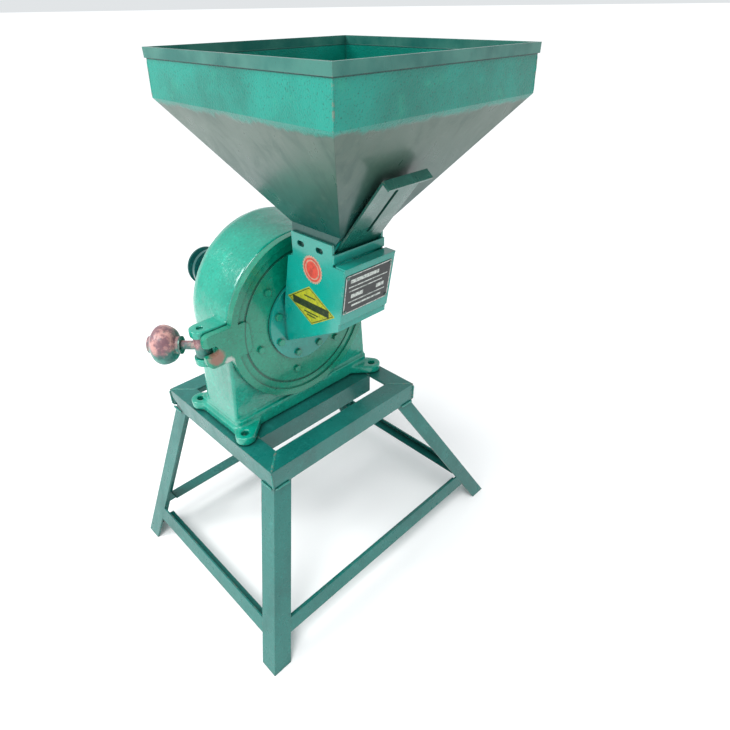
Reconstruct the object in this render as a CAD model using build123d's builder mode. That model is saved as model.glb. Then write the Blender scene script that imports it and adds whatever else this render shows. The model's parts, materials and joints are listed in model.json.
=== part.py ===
from build123d import *
import math
import os

# Small hammer mill on a splayed angle-iron stand.
# Z is up and the floor is Z = 0. X runs to the right of the door, Y runs back to the pulley.
# The origin is the middle of the footprint; the shaft lies above (axis_x, axis_y).
# Depths (y) and offsets (x) below are measured from that shaft position.
axis_x = -31
axis_y = 19

# Stand
stand_height = 355
stand_width = 347
stand_depth = 328
rail_leg = 38
rail_wall = 4
splay_left = 110
splay_right = 172
splay_front = 94
splay_back = 42
leg_width = 36
leg_wall = 4
brace_height = 54
brace_leg = 26
brace_wall = 3
crossbar_front_y = -63
crossbar_back_y = 67

# Mill casing
mill_axis = 531
barrel_radius = 147
barrel_front = -48
barrel_back = 68
scroll_shift = 8
chamber_radius = 131
chamber_back = 44
base_half = 158
ledge_height = 29
ledge_front = -54
lug_x = 154
lug_front_y = -67.5
lug_back_y = 74.5
lug_radius = 18
lug_thick = 17
lug_hole = 13
duct_half = 104
duct_front = -36

# Door and its hinge
door_gap = 0.4
door_thick = 9
rim_raise = 3
rim_width = 12
groove_radius = 121
hinge_x = 170
hinge_y = -18
hinge_pin_radius = 5
knuckle_radius = 12
window_left = -32
window_right = 38
window_low = 513
window_high = 561

# Latch
latch_x = -178
latch_y = -30
latch_z = 540
ear_radius = 17
ear_thick = 13
ear_gap = 36
bolt_radius = 7
latch_rest_angle = 133
washer_start = 32.2
washer_thick = 2.5
knob_radius = 31
knob_length = 50

# Rotor and drive
shaft_radius = 12.5
shaft_nose_radius = 10
shaft_back = 260
disc_radius = 111
disc_front = 22
disc_back = 34
claw_reach = 42
claw_circle = 102.5
pin_circle = 72.5
pulley_radius = 39
pulley_front = 214
pulley_width = 46

# Bearing housing
housing_radius = 43
housing_flange = 68
housing_bolt_circle = 56
housing_back = 200
bearing_radius = 26
bearing_width = 15
race_split = 17

# Stator ring and screen
stator_inner = 50
stator_outer = 108
stator_thick = 8
stator_bolt_circle = 97
tooth_length = 52.4
tooth_outer_circle = 86
tooth_inner_circle = 60
screen_radius = 119
screen_thick = 1.5

# Feed chute
chute_left = -44
chute_right = 55
chute_wall = 4
chute_top = 672
chute_front = -209
chute_foot_y = -193
chute_foot_z = 577
chute_ear_top = 702
chute_ear_front = -187
chute_ear_back = -100
flange_radius = 74
flange_thick = 6
flange_bolt_circle = 62
panel_height = 89

# Hopper and gate
rim_centre_x = 45
rim_centre_y = -119
rim_top_half = 175
rim_top_half_y = 176.5
rim_low_half = 178
rim_top_z = 923
rim_low_z = 866
mouth_centre_x = 5.5
mouth_centre_y = -148.5
mouth_half_x = 45
mouth_half_y = 50.5
mouth_z = 714
collar_z = 672
sheet = 2
hem_height = 12
hem_out = 2.5
gate_centre_x = 7
gate_width = 80
gate_length = 143
gate_thick = 3
gate_gap = 1
gate_start = -38
gate_rise = 0.8

# Derived positions
half_width = stand_width / 2
half_depth = stand_depth / 2
leg_top = stand_height - rail_wall
door_back = barrel_front - door_gap
plate_front = door_back - door_thick
rim_front = plate_front - rim_raise
flange_front = plate_front - flange_thick
chute_middle = (chute_left + chute_right) / 2
panel_lean = (chute_foot_y - chute_front) / (chute_top - chute_foot_z)
shaft_axis = Axis((axis_x, axis_y, mill_axis), (0, 1, 0))
stand_place = Location((axis_x, axis_y, 0))

os.makedirs("parts", exist_ok=True)


def face_plane(y):
    # Plane facing the door side at depth y, sketch x along X and sketch y along Z
    return Plane(origin=(axis_x, axis_y + y, 0), x_dir=(1, 0, 0), z_dir=(0, -1, 0))


def side_plane(x):
    # Plane facing right at offset x, sketch x along Y and sketch y along Z
    return Plane(origin=(axis_x + x, axis_y, 0), x_dir=(0, 1, 0), z_dir=(1, 0, 0))


def level_plane(z):
    # Level plane at height z, seen from above
    return Plane((axis_x, axis_y, z))


def slope(splay):
    # Sideways run of a leg for each millimetre of height
    return (splay + rail_wall + 0.5) / (stand_height - rail_leg)


def reach(half, splay, z):
    # Distance from the stand's middle to a leg's outer face at height z
    return half + splay - slope(splay) * z


def mitred_rail(length, half_span):
    # Angle rail along X on the low-Y side, flat leg on top, both ends mitred
    with BuildPart() as rail:
        for depth, low, high in (
            (rail_leg, stand_height - rail_wall, stand_height),
            (rail_wall, stand_height - rail_leg, stand_height - rail_wall),
        ):
            with BuildSketch(Plane.XY.offset(low)):
                with BuildLine():
                    Polyline(
                        (-length / 2, -half_span),
                        (length / 2, -half_span),
                        (length / 2 - depth, -half_span + depth),
                        (-length / 2 + depth, -half_span + depth),
                        close=True,
                    )
                make_face()
            extrude(amount=high - low)
    return rail.part


def splayed_leg(side_x, splay_x, side_y, splay_y):
    # Angle leg with its corner outward, flat foot on the floor, top under the rail corner
    run = Vector(-side_x * slope(splay_x) * leg_top, -side_y * slope(splay_y) * leg_top, leg_top)
    foot_x = half_width + splay_x
    foot_y = half_depth + splay_y
    with BuildPart() as leg:
        with BuildSketch(level_plane(0)):
            with BuildLine():
                Polyline(
                    (side_x * foot_x, side_y * foot_y),
                    (side_x * (foot_x - leg_width), side_y * foot_y),
                    (side_x * (foot_x - leg_width), side_y * (foot_y - leg_wall)),
                    (side_x * (foot_x - leg_wall), side_y * (foot_y - leg_wall)),
                    (side_x * (foot_x - leg_wall), side_y * (foot_y - leg_width)),
                    (side_x * foot_x, side_y * (foot_y - leg_width)),
                    close=True,
                )
            make_face()
        extrude(amount=run.length, dir=(run.X, run.Y, run.Z))
    return leg.part


def cross_brace(side_y, splay_y, flat_low):
    # Angle brace along X between the edges of two legs
    with BuildPart() as bar:
        for low, high, width in (
            (brace_height, brace_height + brace_leg, brace_wall),
            (flat_low, flat_low + brace_wall, brace_leg),
        ):
            for z in (low, high):
                left = leg_width - reach(half_width, splay_left, z)
                right = reach(half_width, splay_right, z) - leg_width
                outer = reach(half_depth, splay_y, z) - width / 2
                with BuildSketch(level_plane(z)):
                    with Locations(((left + right) / 2, side_y * outer)):
                        Rectangle(right - left, width)
            loft()
    return bar.part


def side_brace(side_x, splay_x, flat_low):
    # Angle brace along Y between the edges of two legs
    with BuildPart() as bar:
        for low, high, width in (
            (brace_height, brace_height + brace_leg, brace_wall),
            (flat_low, flat_low + brace_wall, brace_leg),
        ):
            for z in (low, high):
                front = leg_width - reach(half_depth, splay_front, z)
                back = reach(half_depth, splay_back, z) - leg_width
                outer = reach(half_width, splay_x, z) - width / 2
                with BuildSketch(level_plane(z)):
                    with Locations((side_x * outer, (front + back) / 2)):
                        Rectangle(width, back - front)
            loft()
    return bar.part


# ---- Stand: mitred top rails ----
with BuildPart() as rail_front:
    add(mitred_rail(stand_width, half_depth).moved(stand_place))
rail_front.part.label = "rail_front"
export_step(rail_front.part, "parts/rail_front.step")

with BuildPart() as rail_back:
    add(mitred_rail(stand_width, half_depth).rotate(Axis.Z, 180).moved(stand_place))
rail_back.part.label = "rail_back"
export_step(rail_back.part, "parts/rail_back.step")

with BuildPart() as rail_left:
    add(mitred_rail(stand_depth, half_width).rotate(Axis.Z, -90).moved(stand_place))
    # The hanging leg is trimmed to a slant at its back end
    with BuildSketch(side_plane(-half_width - 1)):
        with BuildLine():
            Polyline(
                (half_depth + 1, stand_height - rail_wall - 8),
                (half_depth + 1, stand_height - rail_leg - 1),
                (half_depth - 45, stand_height - rail_leg - 1),
                close=True,
            )
        make_face()
    extrude(amount=rail_wall + 1, mode=Mode.SUBTRACT)
    with BuildSketch(level_plane(stand_height - rail_wall)):
        with Locations((-lug_x, lug_front_y), (-lug_x, lug_back_y)):
            Circle(lug_hole / 2)
    extrude(amount=rail_wall, mode=Mode.SUBTRACT)
rail_left.part.label = "rail_left"
export_step(rail_left.part, "parts/rail_left.step")

with BuildPart() as rail_right:
    add(mitred_rail(stand_depth, half_width).rotate(Axis.Z, 90).moved(stand_place))
    with BuildSketch(level_plane(stand_height - rail_wall)):
        with Locations((lug_x, lug_front_y), (lug_x, lug_back_y)):
            Circle(lug_hole / 2)
    extrude(amount=rail_wall, mode=Mode.SUBTRACT)
rail_right.part.label = "rail_right"
export_step(rail_right.part, "parts/rail_right.step")

# ---- Stand: crossbars that carry the mill ----
bar_half = half_width - rail_leg
with BuildPart() as crossbar_front:
    with BuildSketch(level_plane(stand_height - rail_wall)):
        with Locations((0, crossbar_front_y)):
            Rectangle(2 * bar_half, rail_leg)
    extrude(amount=rail_wall)
    with BuildSketch(level_plane(stand_height - rail_leg)):
        with Locations((0, crossbar_front_y - rail_leg / 2 + rail_wall / 2)):
            Rectangle(2 * bar_half, rail_wall)
    extrude(amount=rail_leg - rail_wall)
crossbar_front.part.label = "crossbar_front"
export_step(crossbar_front.part, "parts/crossbar_front.step")

with BuildPart() as crossbar_back:
    with BuildSketch(level_plane(stand_height - rail_wall)):
        with Locations((0, crossbar_back_y)):
            Rectangle(2 * bar_half, rail_leg)
    extrude(amount=rail_wall)
    with BuildSketch(level_plane(stand_height - rail_leg)):
        with Locations((0, crossbar_back_y + rail_leg / 2 - rail_wall / 2)):
            Rectangle(2 * bar_half, rail_wall)
    extrude(amount=rail_leg - rail_wall)
crossbar_back.part.label = "crossbar_back"
export_step(crossbar_back.part, "parts/crossbar_back.step")

# ---- Stand: legs ----
with BuildPart() as leg_front_left:
    add(splayed_leg(-1, splay_left, -1, splay_front))
leg_front_left.part.label = "leg_front_left"
export_step(leg_front_left.part, "parts/leg_front_left.step")

with BuildPart() as leg_front_right:
    add(splayed_leg(1, splay_right, -1, splay_front))
leg_front_right.part.label = "leg_front_right"
export_step(leg_front_right.part, "parts/leg_front_right.step")

with BuildPart() as leg_back_left:
    add(splayed_leg(-1, splay_left, 1, splay_back))
leg_back_left.part.label = "leg_back_left"
export_step(leg_back_left.part, "parts/leg_back_left.step")

with BuildPart() as leg_back_right:
    add(splayed_leg(1, splay_right, 1, splay_back))
leg_back_right.part.label = "leg_back_right"
export_step(leg_back_right.part, "parts/leg_back_right.step")

# ---- Stand: braces ----
brace_top_flat = brace_height + brace_leg - brace_wall
with BuildPart() as brace_front:
    add(cross_brace(-1, splay_front, brace_height))
brace_front.part.label = "brace_front"
export_step(brace_front.part, "parts/brace_front.step")

with BuildPart() as brace_back:
    add(cross_brace(1, splay_back, brace_top_flat))
brace_back.part.label = "brace_back"
export_step(brace_back.part, "parts/brace_back.step")

with BuildPart() as brace_left:
    add(side_brace(-1, splay_left, brace_height))
brace_left.part.label = "brace_left"
export_step(brace_left.part, "parts/brace_left.step")

with BuildPart() as brace_right:
    add(side_brace(1, splay_right, brace_height))
brace_right.part.label = "brace_right"
export_step(brace_right.part, "parts/brace_right.step")

# ---- Mill casing ----
base_mid_y = (barrel_front + barrel_back) / 2
base_depth = barrel_back - barrel_front
with BuildPart() as mill_casing:
    # Straight base that widens a little toward the feet
    with BuildSketch(level_plane(stand_height)):
        with Locations((0, base_mid_y)):
            Rectangle(2 * base_half, base_depth)
    with BuildSketch(level_plane(mill_axis)):
        with Locations((0, base_mid_y)):
            Rectangle(2 * barrel_radius - 4, base_depth)
    loft()
    corner_edges = mill_casing.edges().filter_by_position(Axis.Z, stand_height + 9, mill_axis - 9)
    fillet(corner_edges.group_by(Axis.Y)[-1], radius=32)
    corner_edges = mill_casing.edges().filter_by_position(Axis.Z, stand_height + 9, mill_axis - 9)
    fillet(corner_edges.group_by(Axis.Y)[0], radius=5)
    # Round barrel that swells a little toward a rounded back rim
    stations = (
        (barrel_front, 0, barrel_radius - 3),
        (barrel_front + 3, 0, barrel_radius),
        (barrel_back - 22, scroll_shift, barrel_radius + 5),
        (barrel_back - 10, scroll_shift, barrel_radius + 2),
        (barrel_back - 3, scroll_shift, barrel_radius - 5),
        (barrel_back, scroll_shift, barrel_radius - 14),
    )
    for near, far in zip(stations, stations[1:]):
        for y, shift, radius in (near, far):
            with BuildSketch(face_plane(y)):
                with Locations((shift, mill_axis + shift)):
                    Circle(radius)
        loft(ruled=True)
    # Thick ledge round the foot and the four bolt lugs
    with BuildSketch(level_plane(stand_height)):
        with Locations((0, (ledge_front + barrel_back + 4) / 2)):
            RectangleRounded(2 * base_half + 8, barrel_back + 4 - ledge_front, 12)
    extrude(amount=lug_thick)
    with BuildSketch(level_plane(stand_height)):
        with Locations((0, (ledge_front + barrel_back) / 2)):
            RectangleRounded(2 * base_half - 2, barrel_back - ledge_front, 10)
    extrude(amount=ledge_height)
    for side in (-1, 1):
        for hole_y, root_y in ((lug_front_y, -30), (lug_back_y, 40)):
            with BuildSketch(level_plane(stand_height)):
                with Locations((side * lug_x, hole_y)):
                    Circle(lug_radius)
                with Locations((side * 120, root_y)):
                    Circle(24)
                make_hull()
            extrude(amount=lug_thick)
    # Ears for the swing bolt on the left
    for low in (latch_z - ear_gap / 2 - ear_thick, latch_z + ear_gap / 2):
        with BuildSketch(level_plane(low)):
            with Locations((latch_x, latch_y)):
                Circle(ear_radius)
            with Locations(((latch_x - 122) / 2, latch_y)):
                Rectangle(-122 - latch_x, 2 * ear_radius)
        extrude(amount=ear_thick)
    # Hinge boss on the right
    with BuildSketch(level_plane(mill_axis - 20)):
        with Locations((hinge_x, hinge_y)):
            Circle(knuckle_radius)
        with Locations(((hinge_x + 122) / 2, hinge_y)):
            Rectangle(hinge_x - 122, 2 * knuckle_radius - 4)
    extrude(amount=40)
    # Grinding chamber, screen seat and discharge duct
    with BuildSketch(face_plane(chamber_back)):
        with Locations((0, mill_axis)):
            Circle(chamber_radius)
    extrude(amount=chamber_back - barrel_front + 20, mode=Mode.SUBTRACT)
    with BuildSketch(face_plane(chamber_back)):
        with Locations((0, mill_axis)):
            Circle(screen_radius - 0.1)
            Circle(screen_radius - 6, mode=Mode.SUBTRACT)
    extrude(amount=5)
    with BuildSketch(level_plane(stand_height)):
        with Locations((0, (duct_front + chamber_back) / 2)):
            Rectangle(2 * duct_half, chamber_back - duct_front)
    extrude(amount=chamber_radius - 20, mode=Mode.SUBTRACT)
    # Shaft bore, housing bolt holes, lug holes, latch and hinge pin holes
    with BuildSketch(face_plane(barrel_back)):
        with Locations((0, mill_axis)):
            Circle(24)
            with PolarLocations(housing_bolt_circle, 4, start_angle=45):
                Circle(5)
    extrude(amount=barrel_back - chamber_back, mode=Mode.SUBTRACT)
    with BuildSketch(level_plane(stand_height)):
        for side in (-1, 1):
            with Locations((side * lug_x, lug_front_y), (side * lug_x, lug_back_y)):
                Circle(lug_hole / 2)
    extrude(amount=lug_thick, mode=Mode.SUBTRACT)
    with BuildSketch(level_plane(latch_z - 60)):
        with Locations((latch_x, latch_y)):
            Circle(5)
    extrude(amount=120, mode=Mode.SUBTRACT)
    with BuildSketch(level_plane(mill_axis - 20)):
        with Locations((hinge_x, hinge_y)):
            Circle(hinge_pin_radius)
    extrude(amount=40, mode=Mode.SUBTRACT)
mill_casing.part.label = "mill_casing"
export_step(mill_casing.part, "parts/mill_casing.step")

# ---- Ring screen ----
with BuildPart() as ring_screen:
    with BuildSketch(face_plane(chamber_back)):
        with Locations((0, mill_axis)):
            Circle(screen_radius + screen_thick)
            Circle(screen_radius, mode=Mode.SUBTRACT)
    extrude(amount=chamber_back - barrel_front - 0.6)
    for turn in range(30):
        angle = math.radians(12 * turn)
        outward = (math.cos(angle), 0, math.sin(angle))
        spoke = Plane((axis_x, axis_y - 2, mill_axis), x_dir=(0, 1, 0), z_dir=outward)
        with BuildSketch(spoke.offset(screen_radius - 3)):
            with GridLocations(20, 20, 4, 1):
                Circle(3.5)
        extrude(amount=8, mode=Mode.SUBTRACT)
ring_screen.part.label = "ring_screen"
export_step(ring_screen.part, "parts/ring_screen.step")

# ---- Shaft seal in the back wall ----
with BuildPart() as shaft_seal:
    with BuildSketch(face_plane(barrel_back - 4)):
        with Locations((0, mill_axis)):
            Circle(24)
            Circle(shaft_radius + 0.06, mode=Mode.SUBTRACT)
    extrude(amount=9)
shaft_seal.part.label = "shaft_seal"
export_step(shaft_seal.part, "parts/shaft_seal.step")

# ---- Bearing housing ----
with BuildPart() as bearing_housing:
    with BuildSketch(face_plane(barrel_back + 10)):
        with Locations((0, mill_axis)):
            Circle(housing_flange)
    extrude(amount=10)
    with BuildSketch(face_plane(housing_back)):
        with Locations((0, mill_axis)):
            Circle(housing_radius)
    extrude(amount=housing_back - barrel_back - 10)
    for bore_back, depth in ((housing_back, bearing_width + 9), (barrel_back + 17, 17)):
        with BuildSketch(face_plane(bore_back)):
            with Locations((0, mill_axis)):
                Circle(bearing_radius)
        extrude(amount=depth, mode=Mode.SUBTRACT)
    with BuildSketch(face_plane(housing_back)):
        with Locations((0, mill_axis)):
            Circle(21)
            with PolarLocations(34.5, 3, start_angle=90):
                Circle(2.5)
    extrude(amount=housing_back - barrel_back, mode=Mode.SUBTRACT)
    with BuildSketch(face_plane(barrel_back + 10)):
        with Locations((0, mill_axis)):
            with PolarLocations(housing_bolt_circle, 4, start_angle=45):
                Circle(5)
    extrude(amount=10, mode=Mode.SUBTRACT)
    with BuildSketch(level_plane(mill_axis)):
        with Locations((0, barrel_back + 30), (0, housing_back - 30)):
            Circle(4)
    extrude(amount=housing_radius + 3, mode=Mode.SUBTRACT)
bearing_housing.part.label = "bearing_housing"
export_step(bearing_housing.part, "parts/bearing_housing.step")

# ---- Bearings: fixed outer rings and turning inner rings ----
with BuildPart() as bearing_outer_rings:
    for back in (housing_back - 9, barrel_back + 17):
        with BuildSketch(face_plane(back)):
            with Locations((0, mill_axis)):
                Circle(bearing_radius)
                Circle(race_split + 0.05, mode=Mode.SUBTRACT)
        extrude(amount=bearing_width)
bearing_outer_rings.part.label = "bearing_outer_rings"
export_step(bearing_outer_rings.part, "parts/bearing_outer_rings.step")

with BuildPart() as bearing_inner_rings:
    for back in (housing_back - 9, barrel_back + 17):
        with BuildSketch(face_plane(back)):
            with Locations((0, mill_axis)):
                Circle(race_split)
                Circle(shaft_radius, mode=Mode.SUBTRACT)
        extrude(amount=bearing_width)
bearing_inner_rings.part.label = "bearing_inner_rings"
export_step(bearing_inner_rings.part, "parts/bearing_inner_rings.step")

# ---- Bearing cap and its bolts ----
with BuildPart() as bearing_cap:
    with BuildSketch(face_plane(housing_back + 8)):
        with Locations((0, mill_axis)):
            Circle(housing_radius - 1)
    extrude(amount=8)
    with BuildSketch(face_plane(housing_back)):
        with Locations((0, mill_axis)):
            Circle(bearing_radius)
            Circle(22, mode=Mode.SUBTRACT)
    extrude(amount=9)
    with BuildSketch(face_plane(housing_back + 8)):
        with Locations((0, mill_axis)):
            Circle(shaft_radius + 0.06)
            with PolarLocations(34.5, 3, start_angle=90):
                Circle(2.6)
    extrude(amount=8, mode=Mode.SUBTRACT)
bearing_cap.part.label = "bearing_cap"
export_step(bearing_cap.part, "parts/bearing_cap.step")

with BuildPart() as cap_bolts:
    with BuildSketch(face_plane(housing_back + 11.5)):
        with Locations((0, mill_axis)):
            with PolarLocations(34.5, 3, start_angle=90):
                RegularPolygon(4.6, 6)
    extrude(amount=3.5)
    with BuildSketch(face_plane(housing_back + 8)):
        with Locations((0, mill_axis)):
            with PolarLocations(34.5, 3, start_angle=90):
                Circle(2.5)
    extrude(amount=18)
cap_bolts.part.label = "cap_bolts"
export_step(cap_bolts.part, "parts/cap_bolts.step")

with BuildPart() as housing_bolts:
    with BuildSketch(face_plane(barrel_back + 16.5)):
        with Locations((0, mill_axis)):
            with PolarLocations(housing_bolt_circle, 4, start_angle=45):
                RegularPolygon(9, 6)
    extrude(amount=6.5)
    with BuildSketch(face_plane(barrel_back + 10)):
        with Locations((0, mill_axis)):
            with PolarLocations(housing_bolt_circle, 4, start_angle=45):
                Circle(4.9)
    extrude(amount=28)
housing_bolts.part.label = "housing_bolts"
export_step(housing_bolts.part, "parts/housing_bolts.step")

with BuildPart() as grease_cups:
    for cup_y in (barrel_back + 30, housing_back - 30):
        for radius, low, high in ((4, 32, 46), (8, 46, 52), (7, 52, 60), (9, 60, 66)):
            with BuildSketch(level_plane(mill_axis + low)):
                with Locations((0, cup_y)):
                    Circle(radius)
            extrude(amount=high - low)
grease_cups.part.label = "grease_cups"
export_step(grease_cups.part, "parts/grease_cups.step")

# ---- Rotor ----
with BuildPart() as main_shaft:
    with BuildSketch(face_plane(shaft_back)):
        with Locations((0, mill_axis)):
            Circle(shaft_radius)
    extrude(amount=shaft_back - disc_back)
    chamfer(main_shaft.edges().sort_by(Axis.Y)[-1], length=1.5)
    with BuildSketch(face_plane(disc_back)):
        with Locations((0, mill_axis)):
            Circle(shaft_nose_radius)
    extrude(amount=disc_back + 2)
    with BuildSketch(face_plane(pulley_front + pulley_width - 4)):
        with Locations((0, mill_axis + shaft_radius)):
            Rectangle(8, 8)
    extrude(amount=pulley_width - 8, mode=Mode.SUBTRACT)
main_shaft.part.label = "main_shaft"
export_step(main_shaft.part, "parts/main_shaft.step")

with BuildPart() as rotor_disc:
    with BuildSketch(face_plane(disc_back)):
        with Locations((0, mill_axis)):
            Circle(disc_radius)
    extrude(amount=disc_back - disc_front)
    with BuildSketch(face_plane(disc_front)):
        with Locations((0, mill_axis)):
            Circle(24)
    extrude(amount=4)
    with BuildSketch(face_plane(disc_back)):
        with Locations((0, mill_axis)):
            Circle(shaft_nose_radius)
            with PolarLocations(pin_circle, 8, start_angle=22.5):
                Circle(4)
            with PolarLocations(claw_circle, 4, start_angle=45):
                Circle(5)
    extrude(amount=disc_back - disc_front + 4, mode=Mode.SUBTRACT)
rotor_disc.part.label = "rotor_disc"
export_step(rotor_disc.part, "parts/rotor_disc.step")

with BuildPart() as flat_hammers:
    with BuildSketch(face_plane(disc_front)):
        with Locations((0, mill_axis)):
            with PolarLocations(claw_circle, 4, start_angle=45):
                Rectangle(14, 26)
    extrude(amount=claw_reach)
    with BuildSketch(face_plane(disc_back)):
        with Locations((0, mill_axis)):
            with PolarLocations(claw_circle, 4, start_angle=45):
                Circle(5)
    extrude(amount=disc_back - disc_front)
flat_hammers.part.label = "flat_hammers"
export_step(flat_hammers.part, "parts/flat_hammers.step")

with BuildPart() as round_pins:
    with BuildSketch(face_plane(disc_back)):
        with Locations((0, mill_axis)):
            with PolarLocations(pin_circle, 8, start_angle=22.5):
                Circle(4)
    extrude(amount=disc_back - disc_front + claw_reach)
round_pins.part.label = "round_pins"
export_step(round_pins.part, "parts/round_pins.step")

with BuildPart() as rotor_washer:
    with BuildSketch(face_plane(disc_front - 4)):
        with Locations((0, mill_axis)):
            Circle(18)
            Circle(shaft_nose_radius, mode=Mode.SUBTRACT)
    extrude(amount=2.5)
rotor_washer.part.label = "rotor_washer"
export_step(rotor_washer.part, "parts/rotor_washer.step")

with BuildPart() as rotor_nut:
    with BuildSketch(face_plane(disc_front - 6.5)):
        with Locations((0, mill_axis)):
            RegularPolygon(17, 6)
            Circle(shaft_nose_radius, mode=Mode.SUBTRACT)
    extrude(amount=13)
rotor_nut.part.label = "rotor_nut"
export_step(rotor_nut.part, "parts/rotor_nut.step")

# ---- Two-groove belt pulley and its key ----
with BuildPart() as pulley:
    with BuildSketch(side_plane(0)):
        with BuildLine():
            Polyline(
                (pulley_front, mill_axis + shaft_radius),
                (pulley_front, mill_axis + pulley_radius),
                (pulley_front + 3.5, mill_axis + pulley_radius),
                (pulley_front + 7, mill_axis + pulley_radius - 11),
                (pulley_front + 16, mill_axis + pulley_radius - 11),
                (pulley_front + 19.5, mill_axis + pulley_radius),
                (pulley_front + 26.5, mill_axis + pulley_radius),
                (pulley_front + 30, mill_axis + pulley_radius - 11),
                (pulley_front + 39, mill_axis + pulley_radius - 11),
                (pulley_front + 42.5, mill_axis + pulley_radius),
                (pulley_front + pulley_width, mill_axis + pulley_radius),
                (pulley_front + pulley_width, mill_axis + shaft_radius),
                close=True,
            )
        make_face()
    revolve(axis=shaft_axis)
    with BuildSketch(face_plane(pulley_front + pulley_width)):
        with Locations((0, mill_axis + shaft_radius)):
            Rectangle(8, 6.6)
    extrude(amount=pulley_width, mode=Mode.SUBTRACT)
pulley.part.label = "pulley"
export_step(pulley.part, "parts/pulley.step")

with BuildPart() as pulley_key:
    with BuildSketch(face_plane(pulley_front + pulley_width - 4)):
        with Locations((0, mill_axis + shaft_radius - 0.5)):
            Rectangle(7.9, 6.9)
    extrude(amount=pulley_width - 8)
pulley_key.part.label = "pulley_key"
export_step(pulley_key.part, "parts/pulley_key.step")

# ---- Door ----
with BuildPart() as door_plate:
    with BuildSketch(face_plane(door_back)):
        with Locations((0, mill_axis)):
            Circle(barrel_radius)
    extrude(amount=door_thick)
    with BuildSketch(face_plane(plate_front)):
        with Locations((0, mill_axis)):
            Circle(barrel_radius)
            Circle(barrel_radius - rim_width, mode=Mode.SUBTRACT)
    extrude(amount=rim_raise)
    with BuildSketch(face_plane(plate_front)):
        with Locations((0, mill_axis)):
            Circle(groove_radius + 2)
            Circle(groove_radius - 2, mode=Mode.SUBTRACT)
    extrude(amount=-1.5, mode=Mode.SUBTRACT)
    # Slotted ear for the swing bolt
    with BuildSketch(face_plane(door_back)):
        with Locations(((latch_x - 12 - 110) / 2, latch_z)):
            RectangleRounded(-110 - latch_x + 12, 56, 11)
    extrude(amount=door_thick + rim_raise)
    with BuildSketch(level_plane(latch_z - 30)):
        with BuildLine():
            Polyline(
                (latch_x - 13, rim_front + 6),
                (latch_x - 13, rim_front - 1),
                (latch_x - 6, rim_front - 1),
                close=True,
            )
        make_face()
    extrude(amount=60, mode=Mode.SUBTRACT)
    with BuildSketch(face_plane(door_back)):
        with Locations((latch_x + 1, latch_z)):
            Circle(8.5)
        with Locations((latch_x - 14, latch_z)):
            Rectangle(30, 17)
    extrude(amount=door_thick + rim_raise, mode=Mode.SUBTRACT)
    # Hinge side: ear, two arms and two knuckles
    with BuildSketch(face_plane(door_back)):
        with Locations(((hinge_x + knuckle_radius + 130) / 2, mill_axis)):
            Rectangle(hinge_x + knuckle_radius - 130, 77)
    extrude(amount=door_thick + rim_raise)
    for low in (mill_axis - 38.5, mill_axis + 20.5):
        with BuildSketch(level_plane(low)):
            with Locations((hinge_x, hinge_y)):
                Circle(knuckle_radius)
            with Locations((hinge_x, (hinge_y + door_back) / 2)):
                Rectangle(2 * knuckle_radius, hinge_y - door_back)
            with Locations((hinge_x, hinge_y)):
                Circle(hinge_pin_radius + 0.05, mode=Mode.SUBTRACT)
        extrude(amount=18)
    # Feed window and bolt holes
    with BuildSketch(face_plane(door_back)):
        with Locations(((window_left + window_right) / 2, (window_low + window_high) / 2)):
            Rectangle(window_right - window_left, window_high - window_low)
        with Locations((0, mill_axis)):
            with PolarLocations(stator_bolt_circle, 6, start_angle=15):
                Circle(3.1)
            with PolarLocations(flange_bolt_circle, 4, start_angle=157.5, angular_range=180):
                Circle(3.1)
    extrude(amount=door_thick, mode=Mode.SUBTRACT)
door_plate.part.label = "door_plate"
export_step(door_plate.part, "parts/door_plate.step")

# ---- Stator ring behind the door ----
with BuildPart() as stator_ring:
    with BuildSketch(face_plane(door_back + stator_thick)):
        with Locations((0, mill_axis)):
            Circle(stator_outer)
            Circle(stator_inner, mode=Mode.SUBTRACT)
            with PolarLocations(stator_bolt_circle, 6, start_angle=15):
                Circle(3.1, mode=Mode.SUBTRACT)
    extrude(amount=stator_thick)
    with BuildSketch(face_plane(door_back + stator_thick + tooth_length)):
        with Locations((0, mill_axis)):
            with PolarLocations(tooth_outer_circle, 18):
                Circle(4.5)
            with PolarLocations(tooth_inner_circle, 12):
                Circle(4.5)
    extrude(amount=tooth_length)
stator_ring.part.label = "stator_ring"
export_step(stator_ring.part, "parts/stator_ring.step")

with BuildPart() as stator_bolts:
    with BuildSketch(face_plane(plate_front)):
        with Locations((0, mill_axis)):
            with PolarLocations(stator_bolt_circle, 6, start_angle=15):
                RegularPolygon(6.4, 6)
    extrude(amount=4.5)
    with BuildSketch(face_plane(door_back + stator_thick - 1)):
        with Locations((0, mill_axis)):
            with PolarLocations(stator_bolt_circle, 6, start_angle=15):
                Circle(3)
    extrude(amount=stator_thick - 1 + door_thick)
stator_bolts.part.label = "stator_bolts"
export_step(stator_bolts.part, "parts/stator_bolts.step")

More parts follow.
